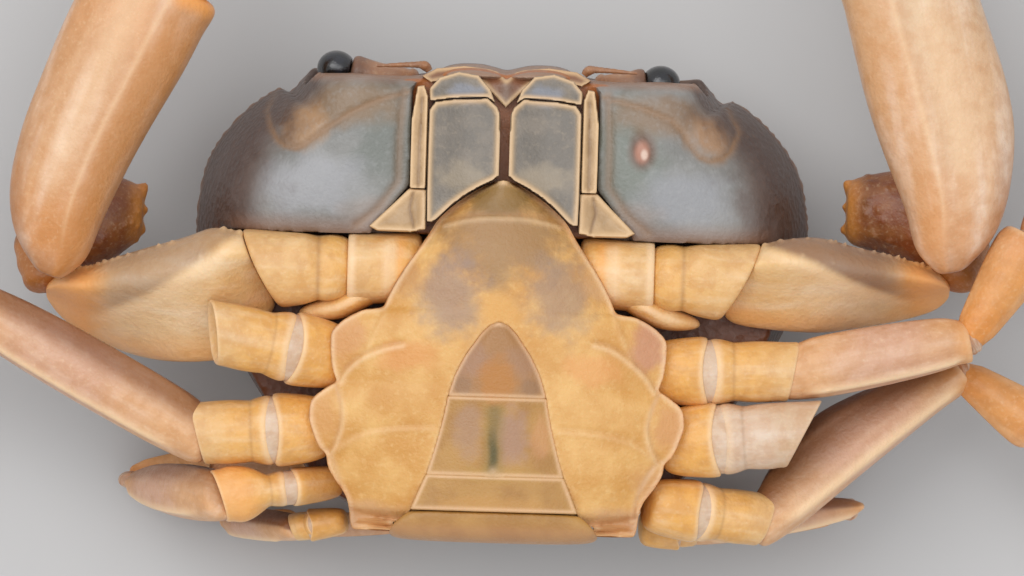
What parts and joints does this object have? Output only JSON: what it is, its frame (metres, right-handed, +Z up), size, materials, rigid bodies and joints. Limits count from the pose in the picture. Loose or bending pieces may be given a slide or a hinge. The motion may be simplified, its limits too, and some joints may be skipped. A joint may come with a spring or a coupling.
{
  "type": "freshwater crab",
  "caption": "Still, life-size male freshwater crab lying on its back, belly up, with heavy claws, spread and folded walking legs and a narrow tail flap.",
  "frame": {"origin": "centre of the whole crab's box in plan, at the level that the flat of its back rests on", "axes": "+X to the crab's claw side that a viewer above sees on the right, +Y towards the front of the head, +Z up through the belly"},
  "size_m": [0.0934, 0.0578, 0.0183],
  "materials": {
    "shell": "satin, purple-brown back and blue-grey cheeks",
    "breast": "satin, warm ochre horn",
    "claw": "satin, orange-tan horn with pale streaks",
    "leg": "satin, tan horn with orange joints",
    "mouthpart": "satin, grey with cream rims",
    "eye": "glossy black"
  },
  "bodies": {
    "root": {"antenna_left": "mouthpart", "antenna_right": "mouthpart", "carapace": "shell", "claw_carpus_left": "claw", "claw_carpus_right": "claw", "claw_coxa_left": "claw", "claw_coxa_right": "claw", "claw_dactylus_left": "claw", "claw_dactylus_right": "claw", "claw_ischium_left": "claw", "claw_ischium_right": "claw", "claw_merus_left": "claw", "claw_merus_right": "claw", "claw_palm_left": "claw", "claw_palm_right": "claw", "exopod_left": "mouthpart", "exopod_right": "mouthpart", "eye_left": "eye", "eye_right": "eye", "eyestalk_left": "leg", "eyestalk_right": "leg", "leg_2_left_stump": "leg", "leg_2_right_base": "leg", "leg_2_right_carpus": "leg", "leg_2_right_dactylus": "leg", "leg_2_right_merus": "leg", "leg_2_right_propodus": "leg", "leg_3_left_base": "leg", "leg_3_left_carpus": "leg", "leg_3_left_dactylus": "leg", "leg_3_left_merus": "leg", "leg_3_left_propodus": "leg", "leg_3_right_stump": "leg", "leg_4_left_base": "leg", "leg_4_left_carpus": "leg", "leg_4_left_dactylus": "leg", "leg_4_left_merus": "leg", "leg_4_left_propodus": "leg", "leg_4_right_base": "leg", "leg_4_right_carpus": "leg", "leg_4_right_dactylus": "leg", "leg_4_right_merus": "leg", "leg_4_right_propodus": "leg", "leg_5_left_base": "leg", "leg_5_left_carpus": "leg", "leg_5_left_dactylus": "leg", "leg_5_left_merus": "leg", "leg_5_left_propodus": "leg", "leg_5_right_base": "leg", "leg_5_right_carpus": "leg", "leg_5_right_dactylus": "leg", "leg_5_right_merus": "leg", "leg_5_right_propodus": "leg", "maxilliped_left": "mouthpart", "maxilliped_right": "mouthpart", "somite_5": "breast", "somite_6": "breast", "somites_1_to_4": "breast", "sternum": "breast", "telson": "breast"}
  },
  "joints": []
}
